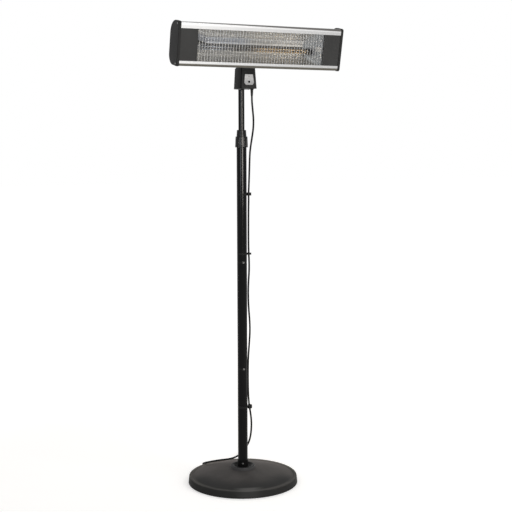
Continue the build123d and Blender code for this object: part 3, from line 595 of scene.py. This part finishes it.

# casting: painted light at the back, painted shade near the front rim, one painted sheen, crest part wear and
# part painted highlight
casting = {
    "top": ((0.058, 0.0552, 0.0542), (0.081, 0.0772, 0.0758)), "wall": (0.036, 0.036, 0.0355),
    "wallFrom": (0.35, 0.75), "toBack": (0.407, 0.914, 0), "flat": (1, 1, 0),
    "paintedBackLight": (0.098, 0.0882, 0.0837), "paintedBackLightFrom": (-0.08, 0.18),
    "frontShade": (0.0375, 0.0378, 0.0378), "frontShadeOut": (0.105, 0.172), "dimFront": (0.0, -0.08),
    "crest": ((0.072, 0.070, 0.067), (0.185, 0.175, 0.163)), "crestFrom": (0.1780, 0.1840),
    "crestPatches": (0.2, 0.6), "crestBack": (0.02, 0.15),
    "sheen": (0.104, 0.1035, 0.102), "wallSheen": (0.054, 0.054, 0.0535), "sheenAcross": (0.932, -0.362, 0),
    "sheenOut": (0.164, 0.175), "sheenWide": (0.062, 0.010), "sheenMiddle": 0.012,
    "rough": (0.5, 0.6), "scale": 190, "pits": 0.6, "bump": 0.4, "depth": 0.0008, "specular": 0.02,
}


def castingFinish():
    material, tree, shader = finish("ironPaint", casting)
    grain = grainOf(tree, casting["scale"], casting["pits"])
    place = coordinates(tree, "Object")
    radius = vectorNode(tree, "LENGTH", vectorNode(tree, "MULTIPLY", place, casting["flat"]))
    rearward = vectorNode(tree, "DOT_PRODUCT", place, casting["toBack"])
    inFront = slope(tree, rearward, *casting["dimFront"])
    shade = mixShade(tree, slope(tree, grain["Patches"], *plain["ramp"]), *casting["top"])
    # painted light: lighter towards the back
    shade = mixShade(tree, slope(tree, rearward, *casting["paintedBackLightFrom"]), shade, casting["paintedBackLight"])
    # painted shade towards the front rim
    frontShade = mathNode(tree, "MULTIPLY", slope(tree, radius, *casting["frontShadeOut"]), inFront)
    shade = mixShade(tree, frontShade, shade, casting["frontShade"])
    # crest lighter in patches, part wear and part painted highlight, lighter still towards the back as painted
    # light
    crestWearAndHighlight = mathNode(tree, "MULTIPLY", slope(tree, radius, *casting["crestFrom"]),
                    slope(tree, grain["Patches"], *casting["crestPatches"]))
    crest = mixShade(tree, slope(tree, rearward, *casting["crestBack"]), *casting["crest"])
    shade = mixShade(tree, crestWearAndHighlight, shade, crest)
    # painted sheen on the front rim and on the wall below it
    across = vectorNode(tree, "DOT_PRODUCT", place, casting["sheenAcross"])
    aside = mathNode(tree, "ABSOLUTE", mathNode(tree, "SUBTRACT", across, casting["sheenMiddle"]))
    sheen = mathNode(tree, "MULTIPLY", slope(tree, radius, *casting["sheenOut"]),
                     slope(tree, aside, *casting["sheenWide"]))
    sheen = mathNode(tree, "MULTIPLY", sheen, inFront)
    shade = mixShade(tree, sheen, shade, casting["sheen"])
    wall = mixShade(tree, sheen, casting["wall"], casting["wallSheen"])
    # painted shade: the wall is darker than the top
    shade = mixShade(tree, fall(tree, facing(tree, "Z"), *casting["wallFrom"]), shade, wall)
    surface(tree, shader, casting, shade, grain["Patches"], grain["Height"])
    return material


ironPaint = castingFinish()

# collar at the pole's foot: painted shade on top, its wall painted lighter as painted light
collar = {
    "wall": (0.088, 0.088, 0.089), "top": (0.010, 0.010, 0.010), "topFrom": (0.5, 0.8), "rough": (0.32, 0.42),
    "scale": 260, "bump": 0.2, "depth": 0.0005, "specular": 0.05,
}


def collarFinish():
    material, tree, shader = finish("collarPaint", collar)
    grain = grainOf(tree, collar["scale"])
    # painted shade on the top faces, painted light on the wall
    shade = mixShade(tree, slope(tree, facing(tree, "Z"), *collar["topFrom"]), collar["wall"], collar["top"])
    surface(tree, shader, collar, shade, grain["Patches"], grain["Height"])
    return material


collarPaint = collarFinish()

# reflector with painted reflection: darker and bluish to the left, brighter above, painted shade over the lamp
# and a painted highlight below it
mirror = {
    "left": (0.50, 0.497, 0.49), "right": (0.78, 0.765, 0.735), "rightFrom": (0.01, 0.14),
    "blueReflection": (0.425, 0.445, 0.487), "blueReflectionUp": (-0.001, 0.002), "blueReflectionAlong": (-0.06, 0.0),
    "upper": (0.86, 0.85, 0.825), "upperFrom": (0.020, 0.028),
    "low": (0.50, 0.493, 0.475), "lowTo": (-0.036, -0.030),
    "slot": (0.11, 0.11, 0.11), "slotFoot": (-0.010, -0.007), "slotTop": (-0.0015, 0.001),
    "highlightLine": (1.0, 0.99, 0.97), "highlightLineFoot": (-0.0285, -0.0270), "highlightLineTop": (-0.0240, -0.0225),
    "highlightLineAlong": (-0.14, -0.05), "rough": (0.44, 0.54), "density": 260, "stretch": 0.03,
    "bump": 0.05, "depth": 0.0002,
}


def mirrorFinish():
    material, tree, shader = finish("mirrorSheet", mirror, metallic=1.0)
    lines = linesOf(tree, mirror)
    place = headPlace(tree)
    along, up = place["Along"], place["Up"]
    # painted reflection: darker to the left, brighter to the right
    shade = mixShade(tree, slope(tree, along, *mirror["rightFrom"]), mirror["left"], mirror["right"])
    # painted bluish reflection just above the lamp on the left
    blueReflection = mathNode(tree, "MULTIPLY", slope(tree, up, *mirror["blueReflectionUp"]),
                    fall(tree, along, *mirror["blueReflectionAlong"]))
    shade = mixShade(tree, blueReflection, shade, mirror["blueReflection"])
    # painted reflection: brighter above, darker below
    shade = mixShade(tree, slope(tree, up, *mirror["upperFrom"]), shade, mirror["upper"])
    shade = mixShade(tree, fall(tree, up, *mirror["lowTo"]), shade, mirror["low"])
    # painted shade: a dark band above the lamp
    shade = mixShade(tree, band(tree, up, mirror["slotFoot"], mirror["slotTop"]), shade, mirror["slot"])
    # painted highlight: a bright line below the lamp
    highlightLine = mathNode(tree, "MULTIPLY", band(tree, up, mirror["highlightLineFoot"], mirror["highlightLineTop"]),
                      slope(tree, along, *mirror["highlightLineAlong"]))
    shade = mixShade(tree, highlightLine, shade, mirror["highlightLine"])
    surface(tree, shader, mirror, shade, lines["Lines"], lines["Lines"])
    return material


mirrorSheet = mirrorFinish()

# extruded housing: bright rails above and below the window, with painted light, highlight and shade, darker
# behind its front face
rail = {
    "near": (0.65, 0.655, 0.665), "far": (0.53, 0.53, 0.53), "farFrom": (-0.3, 0.3),
    "crest": (0.86, 0.865, 0.875), "crestFrom": (0.0605, 0.0635), "crestShare": 0.6,
    "ridge": (0.15, 0.145, 0.14), "ridgeRise": 0.011, "ridgeFrom": (0.0667, 0.0692),
    "under": (0.115, 0.108, 0.092), "underTo": (-0.0650, -0.0620),
    "body": (0.10, 0.098, 0.092), "bodyFrom": (0.006, 0.012),
    "rough": (0.3, 0.4), "density": 900, "stretch": 0.01, "bump": 0.1, "depth": 0.0002,
}


def railFinish():
    material, tree, shader = finish("railAluminium", rail, metallic=1.0)
    lines = linesOf(tree, rail)
    place = headPlace(tree)
    along, up = place["Along"], place["Up"]
    # painted light: the rails are lighter towards the left end
    shade = mixShade(tree, slope(tree, along, *rail["farFrom"]), rail["near"], rail["far"])
    # painted highlight along the top of the upper rail
    shade = mixShade(tree, slope(tree, up, *rail["crestFrom"], 0, rail["crestShare"]), shade, rail["crest"])
    # painted shade along the ridge on top
    lifted = mathNode(tree, "ADD", up, mathNode(tree, "MULTIPLY", along, rail["ridgeRise"]))
    shade = mixShade(tree, slope(tree, lifted, *rail["ridgeFrom"]), shade, rail["ridge"])
    # painted shade along the underside
    shade = mixShade(tree, fall(tree, up, *rail["underTo"]), shade, rail["under"])
    shade = mixShade(tree, slope(tree, place["Behind"], *rail["bodyFrom"]), shade, rail["body"])
    surface(tree, shader, rail, shade, lines["Lines"], lines["Lines"])
    return material


railAluminium = railFinish()

# lamp tube, tint painted along it as reflection: clear and cool left, darker mid, amber right; painted shade on
# top, painted highlight at its foot
quartz = {
    "left": (0.90, 0.935, 1.0), "middle": (0.52, 0.51, 0.50), "middleFrom": (-0.15, -0.07),
    "right": (0.96, 0.83, 0.64), "rightFrom": (-0.05, 0.03), "axisUp": -0.01325,
    "top": (0.10, 0.095, 0.09), "topFrom": (0.0068, 0.0084),
    "foot": (1.0, 0.98, 0.95), "footTo": (-0.0075, -0.0055),
    "rough": (0.04, 0.1), "scale": 60, "bending": 1.45,
}


def quartzFinish():
    material, tree, shader = finish("amberQuartz", quartz)
    patches = grainOf(tree, quartz["scale"])["Patches"]
    place = headPlace(tree)
    along = place["Along"]
    # painted reflection: the tube's tint changes along it
    shade = mixShade(tree, slope(tree, along, *quartz["middleFrom"]), quartz["left"], quartz["middle"])
    shade = mixShade(tree, slope(tree, along, *quartz["rightFrom"]), shade, quartz["right"])
    aboveAxis = mathNode(tree, "SUBTRACT", place["Up"], quartz["axisUp"])
    # painted shade on top of the tube
    shade = mixShade(tree, slope(tree, aboveAxis, *quartz["topFrom"]), shade, quartz["top"])
    # painted highlight along the tube's foot
    shade = mixShade(tree, fall(tree, aboveAxis, *quartz["footTo"]), shade, quartz["foot"])
    surface(tree, shader, quartz, shade, patches)
    shader.inputs["Transmission Weight"].default_value = 1.0
    shader.inputs["IOR"].default_value = quartz["bending"]
    return material


amberQuartz = quartzFinish()
print("finishes made")

# round trim: a hollow rod, along the lamp or upright
rodMesh = {"sides": 48, "capFacing": 0.9, "smoothAngle": 40}


def hollowRod(name, middle, length, outer, inner, upright=False):
    clearSelection()
    lean = 0 if upright else math.radians(90)
    bpy.ops.mesh.primitive_cylinder_add(
        vertices=rodMesh["sides"], radius=outer, depth=length, location=middle, rotation=(0, lean, 0))
    rod = bpy.context.object
    rod.name = name
    bpy.ops.object.transform_apply(location=True, rotation=True, scale=True)
    bpy.ops.object.mode_set(mode="EDIT")
    bpy.ops.mesh.select_mode(type="FACE")
    bpy.ops.mesh.select_all(action="DESELECT")
    bpy.ops.object.mode_set(mode="OBJECT")
    for face in rod.data.polygons:
        face.select = abs(face.normal.z if upright else face.normal.x) > rodMesh["capFacing"]
    bpy.ops.object.mode_set(mode="EDIT")
    bpy.ops.mesh.inset(thickness=outer - inner)
    bpy.ops.mesh.bridge_edge_loops()
    bpy.ops.object.mode_set(mode="OBJECT")
    return rod


def headPoint(along, behind, up):
    tilt = math.radians(lampHead["tilt"])
    back = behind - lampHead["pivotBack"]
    x, y, z = lampHead["pivot"]
    return Vector((x + along, y + back * math.cos(tilt) - up * math.sin(tilt),
                   z + back * math.sin(tilt) + up * math.cos(tilt)))


# clay bushes that fill the end walls' holes round the lamp, cut level with the slanted walls
bush = {
    "outer": 0.0139, "inner": 0.0103, "length": 0.060, "along": 0.207, "mouth": 0.2365, "mouthBack": 0.008,
    "run": 0.056, "deep": 0.0526, "proud": {"Left": 0.0008, "Right": 0.0068},
}
lampMiddle = sum((Vector(corner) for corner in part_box("quartz_tube")), Vector()) / 2


def lampBush(side, sign):
    rod = hollowRod("lampBush" + side, lampMiddle + Vector((sign * bush["along"], 0, 0)), bush["length"],
                    bush["outer"], bush["inner"])
    wallSpot = headPoint(sign * bush["mouth"], bush["mouthBack"], 0)
    wallNormal = (headPoint(-sign * bush["deep"], -bush["run"], 0) - headPoint(0, 0, 0)).normalized()
    bpy.ops.object.mode_set(mode="EDIT")
    bpy.ops.mesh.select_all(action="SELECT")
    bpy.ops.mesh.bisect(
        plane_co=wallSpot + wallNormal * bush["proud"][side], plane_no=wallNormal, clear_outer=True)
    bpy.ops.mesh.bridge_edge_loops()
    bpy.ops.mesh.select_all(action="SELECT")
    bpy.ops.mesh.normals_make_consistent(inside=False)
    bpy.ops.object.mode_set(mode="OBJECT")
    roundShading(rodMesh["smoothAngle"])
    rod.data.materials.append(bushClay)
    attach(rod, "head")
    clearSelection()


lampBush("Left", -1)
lampBush("Right", 1)

# dark ferrule on the lamp's right end
ferrule = {"from": 0.194, "to": 0.2235, "outer": 0.01025, "inner": 0.01002}
lampFerrule = hollowRod(
    "lampFerrule", lampMiddle + Vector(((ferrule["from"] + ferrule["to"]) / 2, 0, 0)),
    ferrule["to"] - ferrule["from"], ferrule["outer"], ferrule["inner"])
roundShading(rodMesh["smoothAngle"])
lampFerrule.data.materials.append(ferruleDark)
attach(lampFerrule, "head")
clearSelection()
print("lamp trim made")

# taller jaws round the eyes of the top and the bottom cable clip: across, up and height of each
clipJaw = {
    "outer": 0.0069, "inner": 0.0049, "reach": 0.0343, "sink": 0.001, "lugThick": 0.005,
    "edge": 0.0008, "edgeSteps": 2,
    "spots": {"Top": (0.0248, 1.0640, 0.0110), "Low": (0.0256, 0.2830, 0.0140)},
}


def makeClipJaw(side, across, up, tall):
    eye = hollowRod(
        "clipJaw" + side, standPoint((across, 0, up)), tall, clipJaw["outer"], clipJaw["inner"], upright=True)
    start = across + clipJaw["outer"] - clipJaw["sink"]
    clearSelection()
    bpy.ops.mesh.primitive_cube_add(
        size=1, location=standPoint(((start + clipJaw["reach"]) / 2, 0, up)),
        rotation=(0, 0, math.radians(lead["standTurn"])),
        scale=(clipJaw["reach"] - start, clipJaw["lugThick"], tall))
    lug = bpy.context.object
    bpy.ops.object.transform_apply(location=True, rotation=True, scale=True)
    bpy.ops.object.mode_set(mode="EDIT")
    bpy.ops.mesh.select_all(action="SELECT")
    bpy.ops.mesh.bevel(offset=clipJaw["edge"], segments=clipJaw["edgeSteps"], affect="EDGES")
    bpy.ops.object.mode_set(mode="OBJECT")
    makeActive(eye)
    lug.select_set(True)
    bpy.ops.object.join()
    bpy.ops.object.transform_apply(location=True, rotation=True, scale=True)
    roundShading(rodMesh["smoothAngle"])
    eye.data.materials.append(clutchPlastic)
    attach(eye, "stand")
    clearSelection()


for side, (across, up, tall) in clipJaw["spots"].items():
    makeClipJaw(side, across, up, tall)
print("clip jaws made")


def dress(material, *names):
    for name in names:
        piece = nodes[name]
        piece.data.materials.clear()
        piece.data.materials.append(material)


dress(ironPaint, "base_casting")
dress(ballastCement, "base_ballast")
dress(collarPaint, "foot_collar")
dress(socketPaint, "pole_socket")
dress(poleLacquer, "lower_pole", "middle_pole", "upper_pole")
dress(poleGloss, "mast_tube", "tilt_yoke", "head_bracket")
dress(clutchPlastic, "clutch_collet", "clutch_nut", "glide_bush", "tilt_knob", "cable_clips", "power_button")
dress(boxPlastic, "box_front_shell", "box_rear_shell", "switch_block")
dress(capPlastic, "end_cap_left", "end_cap_right")
dress(cheekPaint, "cheek_panel_left", "cheek_panel_right")
dress(footRubber, "rubber_feet", "plug_body", "cord_gland")
dress(leadSheath, "cord_upper", "cord_middle", "cord_lower")
dress(screwSteel, "socket_screw", "base_bolt", "base_washer", "box_screws", "yoke_screws", "pivot_bolt",
      "bracket_screws", "cap_screws")
dress(bareSteel, "lower_joiner", "upper_joiner", "lamp_holders")
dress(railAluminium, "housing")
dress(guardWire, "grille")
dress(mirrorSheet, "reflector")
dress(sideMirror, "reflector_end_left")
dress(shadedEndMirror, "reflector_end_right")
dress(plateSilver, "control_plate")
dress(pinBrass, "plug_pins")
dress(lampCeramic, "ceramic_ends", "lamp_terminal")
dress(ribbonCarbon, "carbon_element")
dress(lensRed, "pilot_lens")
dress(amberQuartz, "quartz_tube")
for piece in (upperCord, middleCord, lowerCord):
    piece.data.materials.append(leadSheath)
print("finishes dressed")

# floor, surroundings and light
studio = {
    "floorSize": 60.0, "floorShade": (0.8, 0.8, 0.8), "floorRough": 0.9, "nearLift": 0.44, "farLift": 0.66,
    "nearEdge": 0.9, "farEdge": 2.6, "worldLight": 0.45, "specular": 0.0,
}


def seenRays(tree):
    path = tree.nodes.new("ShaderNodeLightPath")
    seen = mathNode(tree, "MAXIMUM", path.outputs["Is Camera Ray"], path.outputs["Is Glossy Ray"])
    return mathNode(tree, "MAXIMUM", seen, path.outputs["Is Transmission Ray"])


def floorFinish():
    material, tree, shader = finish("paleFloor", studio)
    shader.inputs["Base Color"].default_value = (*studio["floorShade"], 1)
    shader.inputs["Roughness"].default_value = studio["floorRough"]
    away = vectorNode(tree, "LENGTH", coordinates(tree, "Object"))
    rise = slope(tree, away, studio["nearEdge"], studio["farEdge"], studio["nearLift"], studio["farLift"])
    lift = tree.nodes.new("ShaderNodeEmission")
    tree.links.new(mathNode(tree, "MULTIPLY", seenRays(tree), rise), lift.inputs["Strength"])
    both = tree.nodes.new("ShaderNodeAddShader")
    tree.links.new(shader.outputs[0], both.inputs[0])
    tree.links.new(lift.outputs[0], both.inputs[1])
    tree.links.new(both.outputs[0], tree.nodes["Material Output"].inputs["Surface"])
    return material


bpy.ops.mesh.primitive_plane_add(size=studio["floorSize"], location=(0, 0, 0))
floor = bpy.context.object
floor.name = "studioFloor"
floor.data.materials.append(floorFinish())

world = bpy.data.worlds.new("studioWorld")
bpy.context.scene.world = world
world.use_nodes = True
worldTree = world.node_tree
sky = worldTree.nodes["Background"]
sky.inputs["Color"].default_value = (1, 1, 1, 1)
skyGain = mathNode(worldTree, "MULTIPLY", seenRays(worldTree), 1.0 - studio["worldLight"])
worldTree.links.new(mathNode(worldTree, "ADD", skyGain, studio["worldLight"]), sky.inputs["Strength"])


def softBox(name, place, target, size, power, shade, mirrored=False):
    bpy.ops.object.light_add(type="AREA", location=place)
    lamp = bpy.context.object
    lamp.name = name
    lamp.data.shape = "RECTANGLE"
    lamp.data.size, lamp.data.size_y = size
    lamp.data.energy = power
    lamp.data.color = shade
    lamp.rotation_euler = (Vector(target) - Vector(place)).to_track_quat("-Z", "Y").to_euler()
    lamp.visible_glossy = mirrored
    lamp.visible_diffuse = not mirrored
    return lamp


def aroundPole(angle, reach, up):
    turn = math.radians(-90 + shot["azimuth"] + angle)
    return (reach * math.cos(turn), reach * math.sin(turn), up)


# a mirrored light shows only as gloss, the others only as diffuse light
lights = {
    "keyBox": {"place": (-2.4, -1.9, 2.2), "target": (0, 0, 0.9), "size": (1.4, 2.6), "power": 4.5,
               "shade": (1.0, 0.99, 0.97)},
    "fillBox": {"place": (1.6, -2.4, 2.0), "target": (0, 0, 0.8), "size": (1.2, 2.6), "power": 28,
                "shade": (1.0, 0.97, 0.93)},
    "backLeftBox": {"place": aroundPole(212, 1.8, 3.0), "target": (0, 0, 0), "size": (2.2, 1.3), "power": 14,
                    "shade": (1.0, 0.93, 0.84)},
    "backRightBox": {"place": aroundPole(138, 1.8, 3.0), "target": (0, 0, 0), "size": (2.2, 1.3), "power": 14,
                     "shade": (1.0, 0.93, 0.84)},
    "warmStrip": {"place": aroundPole(17.6, 3.0, 1.75), "target": (0, 0, 1.2), "size": (0.35, 1.6), "power": 47,
                  "shade": (1.0, 0.93, 0.82), "mirrored": True},
    "coolStrip": {"place": aroundPole(-27, 3.0, 1.75), "target": (0, 0, 1.2), "size": (0.3, 1.5), "power": 16,
                  "shade": (0.82, 0.91, 1.0), "mirrored": True},
    "warmWindow": {"place": aroundPole(23, 3.0, 1.36), "target": (0, 0, 1.3), "size": (1.5, 0.85), "power": 95,
                   "shade": (1.0, 0.96, 0.92), "mirrored": True},
    "coolWindow": {"place": aroundPole(-26, 3.0, 1.36), "target": (0, 0, 1.3), "size": (1.1, 0.85), "power": 18,
                   "shade": (0.86, 0.93, 1.0), "mirrored": True},
}
lamps = {name: softBox(name, **light) for name, light in lights.items()}

# the two windows' gloss falls on these pieces alone, and leaves out the lamp head
windowLit = bpy.data.collections.new("windowLit")
for name in ("base_casting", "foot_collar", "pole_socket", "lower_pole", "middle_pole", "upper_pole", "mast_tube",
             "clutch_collet", "clutch_nut"):
    windowLit.objects.link(nodes[name])
for name in ("warmWindow", "coolWindow"):
    lamps[name].light_linking.receiver_collection = windowLit

bpy.context.scene.view_settings.view_transform = "Standard"
print("studio lit")

bpy.context.view_layer.update()
